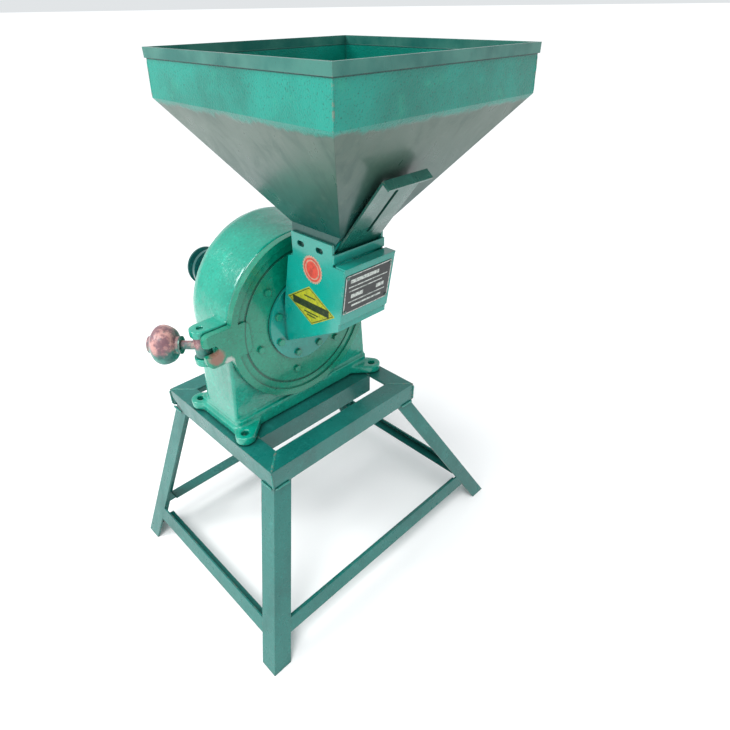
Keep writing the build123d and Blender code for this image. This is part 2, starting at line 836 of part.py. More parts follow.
# ---- Feed chute ----
with BuildPart() as feed_chute:
    with BuildSketch(face_plane(plate_front)):
        with Locations((0, mill_axis)):
            Circle(flange_radius)
    extrude(amount=flange_thick)
    for wall_x in (chute_left, chute_right - chute_wall):
        with BuildSketch(side_plane(wall_x)):
            with BuildLine():
                Polyline(
                    (flange_front, 505),
                    (flange_front, 560),
                    (-88, 662),
                    (chute_ear_back, 666),
                    (chute_ear_back, chute_ear_top),
                    (chute_ear_front, chute_ear_top),
                    (chute_ear_front, chute_top),
                    (chute_front, chute_top),
                    (chute_foot_y, chute_foot_z),
                    (chute_foot_y, chute_foot_z - 4),
                    close=True,
                )
            make_face()
            with Locations((-120, 688), (-160, 688)):
                SlotOverall(15, 8, mode=Mode.SUBTRACT)
        extrude(amount=chute_wall)
    # Floor with a short front lip, and the leaning back sheet
    with BuildSketch(side_plane(chute_left + chute_wall)):
        with BuildLine():
            Polyline(
                (flange_front, 505),
                (flange_front, 509),
                (chute_foot_y + 4, chute_foot_z),
                (chute_foot_y + 4, chute_foot_z + 15),
                (chute_foot_y, chute_foot_z + 15),
                (chute_foot_y, chute_foot_z - 4),
                close=True,
            )
        make_face()
        with BuildLine():
            Polyline(
                (flange_front, 562),
                (-88, 662),
                (chute_ear_back + 1.5, 670),
                (chute_ear_back - 2, 666),
                (-91, 660),
                (flange_front - 4, 562),
                close=True,
            )
        make_face()
    extrude(amount=chute_right - chute_left - 2 * chute_wall)
    with BuildSketch(face_plane(plate_front)):
        with Locations(((window_left + window_right) / 2, (window_low + window_high) / 2)):
            Rectangle(window_right - window_left, window_high - window_low)
        with Locations((0, mill_axis)):
            with PolarLocations(flange_bolt_circle, 4, start_angle=157.5, angular_range=180):
                Circle(3.1)
    extrude(amount=flange_thick, mode=Mode.SUBTRACT)
feed_chute.part.label = "feed_chute"
export_step(feed_chute.part, "parts/feed_chute.step")

with BuildPart() as chute_bolts:
    with BuildSketch(face_plane(flange_front)):
        with Locations((0, mill_axis)):
            with PolarLocations(flange_bolt_circle, 4, start_angle=157.5, angular_range=180):
                RegularPolygon(6.4, 6)
    extrude(amount=4.5)
    with BuildSketch(face_plane(door_back - 1)):
        with Locations((0, mill_axis)):
            with PolarLocations(flange_bolt_circle, 4, start_angle=157.5, angular_range=180):
                Circle(3)
    extrude(amount=door_thick + flange_thick - 1)
chute_bolts.part.label = "chute_bolts"
export_step(chute_bolts.part, "parts/chute_bolts.step")

# ---- Front panel of the chute with its name plate ----
panel_plane = Plane(
    origin=(
        axis_x + chute_middle,
        axis_y + chute_front + panel_lean * 42.5,
        chute_top - 42.5,
    ),
    x_dir=(1, 0, 0),
    z_dir=(0, -1, -panel_lean),
)
with BuildPart() as front_panel:
    with BuildSketch(panel_plane):
        Rectangle(chute_right - chute_left, panel_height)
    extrude(amount=2.5)
    with BuildSketch(side_plane(chute_left)):
        with Locations((chute_front + 6.2, chute_top + 1.75)):
            Rectangle(19, 2.5)
    extrude(amount=chute_right - chute_left)
front_panel.part.label = "front_panel"
export_step(front_panel.part, "parts/front_panel.step")

with BuildPart() as name_plate:
    with BuildSketch(panel_plane.offset(2.5)):
        with Locations((-1, 4)):
            RectangleRounded(92, 63, 3)
            with GridLocations(84, 55, 2, 2):
                Circle(1.5, mode=Mode.SUBTRACT)
    extrude(amount=0.8)
name_plate.part.label = "name_plate"
export_step(name_plate.part, "parts/name_plate.step")

with BuildPart() as plate_rivets:
    with BuildSketch(panel_plane.offset(2.5)):
        with Locations((-1, 4)):
            with GridLocations(84, 55, 2, 2):
                Circle(1.4)
    extrude(amount=0.8)
    with BuildSketch(panel_plane.offset(3.3)):
        with Locations((-1, 4)):
            with GridLocations(84, 55, 2, 2):
                Circle(2.4)
    extrude(amount=1.1)
plate_rivets.part.label = "plate_rivets"
export_step(plate_rivets.part, "parts/plate_rivets.step")

# ---- Throat baffle: the feed gate closes against its lip ----
with BuildPart() as throat_baffle:
    with BuildSketch(side_plane(chute_left + chute_wall)):
        with BuildLine():
            Polyline(
                (chute_ear_back, 664),
                (-134, 636.5),
                (-134, 632.5),
                (chute_ear_back, 660),
                close=True,
            )
        make_face()
    extrude(amount=chute_right - chute_left - 2 * chute_wall)
throat_baffle.part.label = "throat_baffle"
export_step(throat_baffle.part, "parts/throat_baffle.step")

# ---- Hopper: folded hem, upright rim band, pyramid and three-sided collar ----
mouth_front_y = mouth_centre_y - mouth_half_y
slide_plane = Plane(
    origin=(axis_x + gate_centre_x, axis_y + mouth_front_y, mouth_z),
    x_dir=(1, 0, 0),
    z_dir=(0, -1, -gate_rise),
)
with BuildPart() as hopper:
    for inset, fold in ((0, Mode.ADD), (sheet, Mode.SUBTRACT)):
        with BuildSketch(level_plane(mouth_z)):
            with Locations((mouth_centre_x, mouth_centre_y)):
                Rectangle(2 * (mouth_half_x - inset), 2 * (mouth_half_y - inset))
        with BuildSketch(level_plane(rim_low_z)):
            with Locations((rim_centre_x, rim_centre_y)):
                Rectangle(2 * (rim_low_half - inset), 2 * (rim_low_half - inset))
        loft(mode=fold)
    for inset, fold in ((0, Mode.ADD), (sheet, Mode.SUBTRACT)):
        with BuildSketch(level_plane(rim_low_z)):
            with Locations((rim_centre_x, rim_centre_y)):
                Rectangle(2 * (rim_low_half - inset), 2 * (rim_low_half - inset))
        with BuildSketch(level_plane(rim_top_z)):
            with Locations((rim_centre_x, rim_centre_y)):
                Rectangle(2 * (rim_top_half - inset), 2 * (rim_top_half_y - inset))
        loft(mode=fold)
    with BuildSketch(level_plane(rim_top_z - hem_height)):
        with Locations((rim_centre_x, rim_centre_y)):
            Rectangle(2 * (rim_top_half + hem_out), 2 * (rim_top_half_y + hem_out))
            Rectangle(2 * (rim_top_half - 1.1), 2 * (rim_top_half_y - 1.1), mode=Mode.SUBTRACT)
    extrude(amount=hem_height)
    with BuildSketch(level_plane(collar_z)):
        with Locations((mouth_centre_x, mouth_centre_y)):
            Rectangle(2 * mouth_half_x, 2 * mouth_half_y)
            Rectangle(2 * (mouth_half_x - sheet), 2 * (mouth_half_y - sheet), mode=Mode.SUBTRACT)
    extrude(amount=mouth_z - collar_z + 0.5)
    with BuildSketch(slide_plane):
        with Locations((0, -60)):
            Rectangle(140, 120)
    extrude(amount=80, mode=Mode.SUBTRACT)
hopper.part.label = "hopper"
export_step(hopper.part, "parts/hopper.step")

# ---- Feed gate: slotted plate sliding down the front face ----
with BuildPart() as feed_gate:
    with BuildSketch(slide_plane.offset(gate_gap)):
        with Locations((0, gate_start + gate_length / 2)):
            Rectangle(gate_width, gate_length)
        with Locations((0, gate_start + gate_length - 62)):
            SlotOverall(84, 7, rotation=90, mode=Mode.SUBTRACT)
    extrude(amount=gate_thick)
    with BuildSketch(slide_plane.offset(gate_gap)):
        with Locations((0, gate_start + gate_length + 1.5)):
            Rectangle(gate_width, 3)
    extrude(amount=14)
feed_gate.part.label = "feed_gate"
export_step(feed_gate.part, "parts/feed_gate.step")

with BuildPart() as gate_guide:
    with BuildSketch(face_plane(chute_ear_front)):
        with Locations((chute_middle, 682.5)):
            Rectangle(chute_right - chute_left, 13)
    extrude(amount=3)
gate_guide.part.label = "gate_guide"
export_step(gate_guide.part, "parts/gate_guide.step")

# ---- Pins of the latch and the door hinge ----
with BuildPart() as latch_pin:
    with BuildSketch(level_plane(latch_z - ear_gap / 2 - ear_thick)):
        with Locations((latch_x, latch_y)):
            Circle(5)
    extrude(amount=ear_gap + 2 * ear_thick - 4)
latch_pin.part.label = "latch_pin"
export_step(latch_pin.part, "parts/latch_pin.step")

with BuildPart() as hinge_pin:
    with BuildSketch(level_plane(mill_axis - 41)):
        with Locations((hinge_x, hinge_y)):
            Circle(hinge_pin_radius)
    extrude(amount=80)
    with BuildSketch(level_plane(mill_axis + 39)):
        with Locations((hinge_x, hinge_y)):
            Circle(8)
    extrude(amount=4)
hinge_pin.part.label = "hinge_pin"
export_step(hinge_pin.part, "parts/hinge_pin.step")

# ---- Swing bolt, washer and ball nut, swung clear of the door ----
rest_angle = math.radians(latch_rest_angle)
bolt_plane = Plane(
    origin=(axis_x + latch_x, axis_y + latch_y, latch_z),
    x_dir=(0, 0, 1),
    z_dir=(math.cos(rest_angle), math.sin(rest_angle), 0),
)
knob_start = washer_start + washer_thick
with BuildPart() as swing_bolt:
    with BuildSketch(level_plane(latch_z - ear_gap / 2 + 1)):
        with Locations((latch_x, latch_y)):
            Circle(13)
    extrude(amount=ear_gap - 2)
    with BuildSketch(bolt_plane):
        Circle(bolt_radius)
    extrude(amount=knob_start + knob_length - 8)
    with BuildSketch(level_plane(latch_z - ear_gap / 2 + 1)):
        with Locations((latch_x, latch_y)):
            Circle(5.05)
    extrude(amount=ear_gap - 2, mode=Mode.SUBTRACT)
swing_bolt.part.label = "swing_bolt"
export_step(swing_bolt.part, "parts/swing_bolt.step")

with BuildPart() as latch_washer:
    with BuildSketch(bolt_plane.offset(washer_start)):
        Circle(14)
        Circle(bolt_radius + 0.5, mode=Mode.SUBTRACT)
    extrude(amount=washer_thick)
latch_washer.part.label = "latch_washer"
export_step(latch_washer.part, "parts/latch_washer.step")

knob_side = Plane(
    origin=(axis_x + latch_x, axis_y + latch_y, latch_z),
    x_dir=bolt_plane.z_dir,
    z_dir=(-math.sin(rest_angle), math.cos(rest_angle), 0),
)
with BuildPart() as ball_nut:
    with BuildSketch(knob_side):
        with BuildLine():
            Polyline(
                (knob_start, 0),
                (knob_start, 13),
                (knob_start + 4, 14),
                (knob_start + 6, 19),
            )
            Spline(
                (knob_start + 6, 19),
                (knob_start + 15, 28),
                (knob_start + 25, knob_radius),
                (knob_start + 36, 27),
                (knob_start + 46, 14),
                (knob_start + knob_length, 0),
                tangents=((0.3, 1), (0, -1)),
            )
            Line((knob_start + knob_length, 0), (knob_start, 0))
        make_face()
    revolve(axis=Axis(knob_side.origin, knob_side.x_dir))
    with BuildSketch(bolt_plane.offset(knob_start)):
        Circle(bolt_radius + 0.05)
    extrude(amount=knob_length - 6, mode=Mode.SUBTRACT)
ball_nut.part.label = "ball_nut"
export_step(ball_nut.part, "parts/ball_nut.step")
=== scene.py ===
import json
import math
import random

import bpy
import bmesh
from mathutils import Matrix, Vector, noise


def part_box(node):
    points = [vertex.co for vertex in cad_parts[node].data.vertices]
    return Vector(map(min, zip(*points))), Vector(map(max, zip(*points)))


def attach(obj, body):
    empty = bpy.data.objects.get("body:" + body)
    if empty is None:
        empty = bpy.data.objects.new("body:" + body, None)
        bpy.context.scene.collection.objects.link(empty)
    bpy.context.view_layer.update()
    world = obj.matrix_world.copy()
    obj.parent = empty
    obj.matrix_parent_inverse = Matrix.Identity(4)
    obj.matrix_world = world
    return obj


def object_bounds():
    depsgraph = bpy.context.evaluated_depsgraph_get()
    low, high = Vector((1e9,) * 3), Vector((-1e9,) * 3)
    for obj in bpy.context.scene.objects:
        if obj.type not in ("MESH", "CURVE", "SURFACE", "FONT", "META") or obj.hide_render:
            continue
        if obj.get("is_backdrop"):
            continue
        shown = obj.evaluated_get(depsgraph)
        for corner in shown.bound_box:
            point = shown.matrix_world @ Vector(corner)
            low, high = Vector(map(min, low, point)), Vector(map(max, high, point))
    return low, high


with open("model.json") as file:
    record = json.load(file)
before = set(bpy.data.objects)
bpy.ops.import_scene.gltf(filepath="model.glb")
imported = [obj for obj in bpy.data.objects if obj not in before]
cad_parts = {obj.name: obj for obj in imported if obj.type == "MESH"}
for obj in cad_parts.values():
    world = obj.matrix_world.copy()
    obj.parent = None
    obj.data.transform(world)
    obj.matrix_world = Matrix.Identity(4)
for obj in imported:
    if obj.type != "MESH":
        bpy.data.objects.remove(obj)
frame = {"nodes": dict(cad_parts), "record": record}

cad_low, cad_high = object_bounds()
nodes = frame["nodes"]
joints = {j["name"]: j for j in frame["record"]["behaviour"]["joints"]}
random.seed(7)

# Reference places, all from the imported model
shaft = Vector(joints["rotor_spin"]["pos_m"])
latch = Vector(joints["latch_swing"]["pos_m"])
casing_low = Vector(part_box("mill_casing")[0])
panel_low, panel_high = (Vector(v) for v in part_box("front_panel"))
hopper_low, hopper_high = (Vector(v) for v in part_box("hopper"))
ball_low, ball_high = (Vector(v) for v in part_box("ball_nut"))
door_low = Vector(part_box("door_plate")[0])
stand_top = casing_low.z


def colour(red, green, blue):
    """Screen colour, 0 to 255, as linear RGBA."""
    out = []
    for value in (red, green, blue):
        value /= 255
        out.append(value / 12.92 if value <= 0.04045 else ((value + 0.055) / 1.055) ** 2.4)
    return (*out, 1.0)


# ---------------------------------------------------------------- node helper
class Shader:
    def __init__(self, name):
        self.material = bpy.data.materials.new(name)
        self.material.use_nodes = True
        self.tree = self.material.node_tree
        self.tree.nodes.clear()
        self.bsdf = self.add("ShaderNodeBsdfPrincipled")
        out = self.add("ShaderNodeOutputMaterial")
        self.link(self.bsdf.outputs[0], out.inputs[0])
        self.place = self.add("ShaderNodeTexCoord").outputs["Object"]

    def add(self, kind, **settings):
        node = self.tree.nodes.new(kind)
        for key, value in settings.items():
            setattr(node, key, value)
        return node

    def link(self, source, target):
        self.tree.links.new(source, target)

    def feed(self, socket, value):
        if isinstance(value, bpy.types.NodeSocket):
            self.link(value, socket)
        else:
            socket.default_value = value

    def stretched(self, scale, turn=(0, 0, 0)):
        node = self.add("ShaderNodeMapping")
        self.link(self.place, node.inputs["Vector"])
        node.inputs["Scale"].default_value = scale
        node.inputs["Rotation"].default_value = turn
        return node.outputs[0]

    def noise(self, scale, detail=3, rough=0.5, distortion=0, where=None):
        node = self.add("ShaderNodeTexNoise")
        self.link(where or self.place, node.inputs["Vector"])
        node.inputs["Scale"].default_value = scale
        node.inputs["Detail"].default_value = detail
        node.inputs["Roughness"].default_value = rough
        node.inputs["Distortion"].default_value = distortion
        return node.outputs["Fac"]

    def cells(self, scale, where=None, smooth=0.6):
        node = self.add("ShaderNodeTexVoronoi", feature="SMOOTH_F1")
        self.link(where or self.place, node.inputs["Vector"])
        node.inputs["Scale"].default_value = scale
        node.inputs["Smoothness"].default_value = smooth
        return node.outputs["Distance"]

    def calc(self, kind, a, b=0.0, c=0.0):
        node = self.add("ShaderNodeMath", operation=kind)
        self.feed(node.inputs[0], a)
        self.feed(node.inputs[1], b)
        self.feed(node.inputs[2], c)
        return node.outputs[0]

    def span(self, value, low, high, to_low=0.0, to_high=1.0):
        node = self.add("ShaderNodeMapRange", interpolation_type="SMOOTHSTEP")
        self.feed(node.inputs["Value"], value)
        node.inputs["From Min"].default_value = low
        node.inputs["From Max"].default_value = high
        node.inputs["To Min"].default_value = to_low
        node.inputs["To Max"].default_value = to_high
        return node.outputs["Result"]

    def blend(self, amount, a, b, kind="MIX"):
        node = self.add("ShaderNodeMix", data_type="RGBA", blend_type=kind)
        self.feed(node.inputs["Factor"], amount)
        self.feed(node.inputs[6], a)
        self.feed(node.inputs[7], b)
        return node.outputs[2]

    def axis(self, name):
        node = self.add("ShaderNodeSeparateXYZ")
        self.link(self.place, node.inputs[0])
        return node.outputs[name]

    def away(self, point, flat=None):
        """Distance from a point, or from a line through it along the axis named flat."""
        node = self.add("ShaderNodeVectorMath", operation="SUBTRACT")
        self.link(self.place, node.inputs[0])
        node.inputs[1].default_value = point
        source = node.outputs[0]
        if flat:
            keep = {"X": (0, 1, 1), "Y": (1, 0, 1), "Z": (1, 1, 0)}[flat]
            squash = self.add("ShaderNodeVectorMath", operation="MULTIPLY")
            self.link(source, squash.inputs[0])
            squash.inputs[1].default_value = keep
            source = squash.outputs[0]
        size = self.add("ShaderNodeVectorMath", operation="LENGTH")
        self.link(source, size.inputs[0])
        return size.outputs["Value"]

    def crevice(self, distance, inside=False):
        node = self.add("ShaderNodeAmbientOcclusion", samples=6, inside=inside, only_local=False)
        node.inputs["Distance"].default_value = distance
        return node.outputs["AO"]

    def rounded(self, radius):
        node = self.add("ShaderNodeBevel", samples=4)
        node.inputs["Radius"].default_value = radius
        return node.outputs[0]

    def bump(self, height, distance, strength=1.0, normal=None):
        node = self.add("ShaderNodeBump")
        self.feed(node.inputs["Height"], height)
        node.inputs["Distance"].default_value = distance
        node.inputs["Strength"].default_value = strength
        if normal is not None:
            self.link(normal, node.inputs["Normal"])
        return node.outputs[0]

    def finish(self, base, rough, normal=None, metallic=0.0, coat=0.0, coat_rough=0.1, specular=0.5):
        self.feed(self.bsdf.inputs["Base Color"], base)
        self.feed(self.bsdf.inputs["Roughness"], rough)
        self.feed(self.bsdf.inputs["Metallic"], metallic)
        self.bsdf.inputs["Coat Weight"].default_value = coat
        self.bsdf.inputs["Coat Roughness"].default_value = coat_rough
        self.bsdf.inputs["Specular IOR Level"].default_value = specular
        if normal is not None:
            self.link(normal, self.bsdf.inputs["Normal"])
        return self.material


PRIMER = colour(150, 96, 84)
RUST = colour(92, 50, 34)
# Dark teal used as painted shade in corners and crevices
PAINTED_SHADE = colour(14, 44, 40)


def enamel(name, deep, mid, pale, peel=420, peel_depth=0.00035, lumps=60, lump_depth=0.0006,
           rough=(0.2, 0.36), coat=0.35, wear=0.35, radius=0.0012, rusty=(), shade_lines=(), corner_shade=0.7,
           streak=0.0, brush=None):
    """Brushed or sprayed machine enamel: mottled colour, orange peel with painted shade in its hollows and
    painted highlight on its crests, worn edges, painted shade in corners.
    """
    s = Shader(name)
    broad = s.noise(5, 3, 0.5)
    middle = s.noise(70, 5, 0.7)
    fine = s.noise(peel, 2, 0.5)
    base = s.blend(s.calc("MULTIPLY", s.span(broad, 0.42, 0.68), 0.5), mid, deep)
    base = s.blend(s.calc("MULTIPLY", s.span(middle, 0.52, 0.72), 0.4), base, pale)
    # Painted shade and highlight: the peel noise that also drives the peel bump darkens its hollows and
    # lightens its crests
    base = s.blend(s.calc("MULTIPLY", s.span(fine, 0.45, 0.28), 0.5), base, deep)
    base = s.blend(s.calc("MULTIPLY", s.span(fine, 0.6, 0.72), 0.45), base, pale)
    if streak:
        run = s.noise(30, 3, 0.6, where=s.stretched((1, 1, 0.12)))
        base = s.blend(s.calc("MULTIPLY", s.span(run, 0.52, 0.75), streak), base, deep)
    # Painted shade: corners found by ambient occlusion are darkened toward a dark teal
    corner = s.crevice(0.012)
    shade = s.span(corner, 0.85, 0.35)
    base = s.blend(s.calc("MULTIPLY", shade, corner_shade), base, PAINTED_SHADE)
    edge = s.crevice(0.0025, inside=True)
    worn = s.calc("MULTIPLY", s.span(edge, 0.62, 0.35), s.span(s.noise(90, 4, 0.7), 0.5, 0.62))
    base = s.blend(s.calc("MULTIPLY", worn, wear), base, PRIMER)
    chips = s.span(s.noise(160, 5, 0.7), 0.71, 0.75)
    base = s.blend(s.calc("MULTIPLY", chips, 0.5), base, RUST)
    bare = worn
    for point, reach, tint in rusty:
        near = s.calc("ADD", s.away(point), s.calc("MULTIPLY", s.noise(70, 4, 0.65), reach * 0.9))
        patch = s.span(near, reach * 1.35, reach * 0.95)
        base = s.blend(s.calc("MULTIPLY", patch, 0.85), base, tint)
        bare = s.calc("MAXIMUM", bare, patch)
    # Painted shade: rings painted darker on the face, standing in for the shade in grooves and gaps
    for point, flat, at, width, tint in shade_lines:
        gap = s.calc("ABSOLUTE", s.calc("SUBTRACT", s.away(point, flat), at))
        line_shade = s.span(gap, width, width * 0.5)
        base = s.blend(s.calc("MULTIPLY", line_shade, 0.8), base, tint)
    sheen = s.span(s.noise(24, 3, 0.6), 0.3, 0.7, rough[0], rough[1])
    sheen = s.calc("MULTIPLY_ADD", bare, 0.35, sheen)
    normal = s.rounded(radius)
    normal = s.bump(s.noise(lumps, 3, 0.55), lump_depth, 1.0, normal)
    if brush:
        normal = s.bump(s.noise(220, 2, 0.6, where=s.stretched(brush)), 0.0002, 0.7, normal)
    normal = s.bump(fine, peel_depth, 0.8, normal)
    return s.finish(base, sheen, normal, coat=coat, coat_rough=0.12, specular=0.4)


def steel(name, tint, dark, rough=(0.25, 0.45), rust=0.3, grain=(1, 30, 1)):
    """Turned or plated steel with fine scratches, a little rust and painted shade in its crevices."""
    s = Shader(name)
    scratch = s.noise(300, 3, 0.6, where=s.stretched(grain))
    base = s.blend(s.span(scratch, 0.3, 0.7), dark, tint)
    spots = s.span(s.noise(120, 5, 0.7), 0.58, 0.7)
    base = s.blend(s.calc("MULTIPLY", spots, rust), base, RUST)
    # Painted shade: crevices found by ambient occlusion are darkened toward near-black
    crevice_shade = s.span(s.crevice(0.006), 0.8, 0.3)
    base = s.blend(s.calc("MULTIPLY", crevice_shade, 0.7), base, colour(26, 26, 24))
    sheen = s.span(s.noise(60, 3), 0.3, 0.7, rough[0], rough[1])
    normal = s.bump(scratch, 0.00006, 0.6, s.rounded(0.0005))
    metal = s.calc("SUBTRACT", 1.0, s.calc("MULTIPLY", spots, rust))
    return s.finish(base, sheen, normal, metallic=metal)


# ---------------------------------------------------------------- materials
TEAL = dict(deep=colour(0, 98, 84), mid=colour(0, 152, 128), pale=colour(20, 188, 160))

slot_place = Vector((door_low.x + 0.016, door_low.y, latch.z - 0.012))
casing_paint = enamel(
    "casting_enamel", TEAL["deep"], TEAL["mid"], TEAL["pale"], peel=300, peel_depth=0.0005,
    lumps=60, lump_depth=0.0012, rough=(0.14, 0.28), coat=0.7, wear=0.5, radius=0.002,
    rusty=[(latch + Vector((0.012, -0.012, -0.02)), 0.016, PRIMER)],
)
door_paint = enamel(
    "door_enamel", colour(0, 88, 68), colour(0, 136, 108), colour(18, 160, 128), peel=330,
    peel_depth=0.0004, lumps=50, lump_depth=0.0008, rough=(0.18, 0.32), coat=0.55, wear=0.5, radius=0.0018,
    rusty=[
        (slot_place, 0.017, PRIMER),
        (slot_place + Vector((0.02, 0, -0.016)), 0.012, colour(190, 190, 185)),
    ],
    # The two rings below are painted shade for the door-to-barrel gap and the boss step
    shade_lines=[(shaft, "Y", 0.121, 0.0016, colour(4, 70, 56)), (shaft, "Y", 0.0748, 0.0012, colour(4, 60, 50))],
)
chute_paint = enamel(
    "chute_enamel", colour(0, 108, 96), colour(0, 144, 130), colour(10, 164, 150), peel=520,
    peel_depth=0.00012, lumps=26, lump_depth=0.0005, rough=(0.16, 0.28), coat=0.6, wear=0.4, radius=0.0008,
)
gate_paint = enamel(
    "gate_enamel", colour(10, 66, 58), colour(24, 92, 80), colour(44, 116, 102), peel=500,
    peel_depth=0.00012, lumps=24, lump_depth=0.0005, rough=(0.22, 0.4), coat=0.4, wear=0.6, radius=0.0006,
    brush=(6, 6, 0.4),
)
stand_paint = enamel(
    "stand_enamel", colour(6, 72, 68), colour(16, 106, 98), colour(40, 132, 124), peel=380,
    peel_depth=0.00025, lumps=34, lump_depth=0.0012, rough=(0.24, 0.42), coat=0.35, wear=0.7, radius=0.0012,
    streak=0.3,
)
housing_paint = enamel(
    "housing_enamel", colour(0, 82, 72), colour(0, 126, 108), colour(16, 156, 134), peel=320,
    peel_depth=0.0004, lumps=44, lump_depth=0.001, rough=(0.16, 0.34), coat=0.7, wear=0.5, radius=0.0015,
)
pulley_paint = enamel(
    "pulley_enamel", colour(2, 56, 56), colour(8, 88, 84), colour(24, 116, 110), peel=360,
    peel_depth=0.0002, lumps=60, lump_depth=0.0004, rough=(0.2, 0.4), coat=0.5, wear=0.9, radius=0.0008,
)


def hopper_material():
    """Hammered enamel on the rim and inside, smooth greyish enamel on the pyramid with a painted reflection
    greying it toward the rim, bare-looking hem; painted shade in the dimples, the corners and under the
    hem.
    """
    s = Shader("hopper_enamel")
    height = s.axis("Z")
    fold = hopper_high.z - 0.057
    ragged = s.calc("MULTIPLY_ADD", s.noise(38, 4, 0.7), 0.02, height)
    band = s.span(ragged, fold + 0.001, fold + 0.007)
    facing = s.add("ShaderNodeSeparateXYZ")
    s.link(s.add("ShaderNodeNewGeometry").outputs["Normal"], facing.inputs[0])
    inward = s.span(facing.outputs["Z"], 0.02, 0.1)
    hammered = s.calc("MAXIMUM", band, inward)
    hem_edge = hopper_high.z - 0.0121
    hem = s.span(height, hem_edge, hem_edge + 0.0006)
    speckle = s.noise(520, 2, 0.6)
    dimple = s.calc("MULTIPLY_ADD", speckle, 0.7, s.calc("MULTIPLY", s.cells(430, smooth=0.7), 0.5))
    broad = s.noise(8, 4, 0.6)
    # Hammered colour; the dimple hollows, which the bump below sinks, are darkened as painted shade
    rim = s.blend(s.span(broad, 0.35, 0.65), colour(0, 112, 98), colour(0, 138, 122))
    rim = s.blend(s.calc("MULTIPLY", s.span(dimple, 0.5, 0.34), 0.6), rim, colour(0, 62, 54))
    rim_patch = s.span(s.noise(30, 4, 0.7), 0.55, 0.75)
    rim = s.blend(s.calc("MULTIPLY", rim_patch, 0.3), rim, colour(30, 160, 128))
    # Smooth pyramid colour, greyer toward the rim and darker low down: partly the enamel's own grey-green,
    # partly a painted reflection of the pale floor
    low_z = panel_high.z + 0.04
    reflection_ramp = s.span(height, low_z, fold - 0.01)
    wipe = s.noise(26, 4, 0.65, 0.6, where=s.stretched((1, 1, 0.35)))
    side = s.blend(reflection_ramp, colour(12, 70, 64), colour(68, 92, 80))
    side = s.blend(s.calc("MULTIPLY", s.span(wipe, 0.5, 0.72), 0.5), side, colour(26, 66, 58))
    side_patch = s.span(s.noise(60, 3, 0.6), 0.55, 0.75)
    side = s.blend(s.calc("MULTIPLY", side_patch, 0.25), side, colour(92, 112, 98))
    base = s.blend(hammered, side, rim)
    strip = s.blend(s.span(s.noise(18, 3, 0.6), 0.35, 0.65), colour(20, 84, 78), colour(62, 112, 102))
    base = s.blend(s.calc("MULTIPLY", hem, 0.8), base, strip)
    # Painted shadow: a dark strip just under the hem's edge
    hem_shadow = s.span(s.calc("ABSOLUTE", s.calc("SUBTRACT", height, hem_edge - 0.0004)), 0.0011, 0.0005)
    base = s.blend(s.calc("MULTIPLY", hem_shadow, 0.75), base, colour(16, 48, 46))
    specks = s.span(s.noise(150, 5, 0.75), 0.68, 0.73)
    base = s.blend(s.calc("MULTIPLY", specks, 0.45), base, colour(24, 40, 34))
    # Painted shade: corners found by ambient occlusion are darkened toward a dark teal
    corner = s.span(s.crevice(0.01), 0.8, 0.35)
    base = s.blend(s.calc("MULTIPLY", corner, 0.5), base, PAINTED_SHADE)
    edge_wear = s.span(s.noise(80, 4, 0.7), 0.48, 0.62)
    edge = s.calc("MULTIPLY", s.span(s.crevice(0.002, True), 0.6, 0.35), edge_wear)
    base = s.blend(s.calc("MULTIPLY", edge, 0.4), base, PRIMER)
    smooth_rough = s.span(wipe, 0.3, 0.7, 0.26, 0.42)
    rough = s.add("ShaderNodeMix", data_type="FLOAT")
    s.feed(rough.inputs[0], s.calc("SUBTRACT", hammered, s.calc("MULTIPLY", hem, hammered)))
    s.feed(rough.inputs[2], smooth_rough)
    s.feed(rough.inputs[3], s.span(broad, 0.3, 0.7, 0.3, 0.42))
    soft = s.calc("MULTIPLY", hammered, s.calc("SUBTRACT", 1.0, hem))
    height_map = s.calc("MULTIPLY", dimple, soft)
    normal = s.rounded(0.0008)
    normal = s.bump(s.noise(14, 2, 0.5), 0.0012, 0.6, normal)
    normal = s.bump(s.noise(420, 2), 0.00008, 0.6, normal)
    normal = s.bump(height_map, 0.0007, 0.9, normal)
    return s.finish(base, rough.outputs[0], normal, coat=0.2, coat_rough=0.15, specular=0.4)


hopper_paint = hopper_material()

machined = steel("machined_steel", colour(190, 190, 186), colour(120, 120, 118), (0.22, 0.4), 0.25)
bolt_metal = steel("bolt_steel", colour(120, 150, 140), colour(60, 90, 84), (0.3, 0.5), 0.5)
screen_metal = steel("screen_steel", colour(160, 160, 156), colour(96, 96, 94), (0.3, 0.5), 0.35)
brass = steel("brass_fitting", colour(196, 160, 88), colour(140, 104, 48), (0.25, 0.45), 0.1)


def primer_material():
    """Ball nut: pink-brown primer on top, green paint and bare iron lower down."""
    s = Shader("ball_primer")
    centre = (ball_low + ball_high) / 2
    tall = s.calc("SUBTRACT", s.axis("Z"), centre.z)
    ragged = s.calc("MULTIPLY_ADD", s.noise(55, 5, 0.7, 0.5), 0.05, tall)
    top = s.span(ragged, 0.018, 0.034)
    pink = s.blend(s.span(s.noise(70, 4, 0.7), 0.4, 0.62), colour(120, 84, 92), colour(196, 146, 140))
    pink_patch = s.span(s.noise(150, 4, 0.7), 0.56, 0.66)
    pink = s.blend(s.calc("MULTIPLY", pink_patch, 0.7), pink, colour(70, 110, 112))
    green = s.blend(s.span(s.noise(40, 4, 0.6), 0.35, 0.65), colour(22, 92, 84), colour(56, 142, 126))
    base = s.blend(top, green, pink)
    base = s.blend(s.calc("MULTIPLY", s.span(s.noise(130, 5, 0.75), 0.62, 0.68), 0.8), base, RUST)
    normal = s.bump(s.noise(60, 4, 0.6), 0.002, 0.8)
    normal = s.bump(s.noise(300, 2), 0.0004, 0.6, normal)
    rough = s.span(s.noise(50, 3), 0.3, 0.7, 0.32, 0.55)
    return s.finish(base, rough, normal, coat=0.3, coat_rough=0.2)


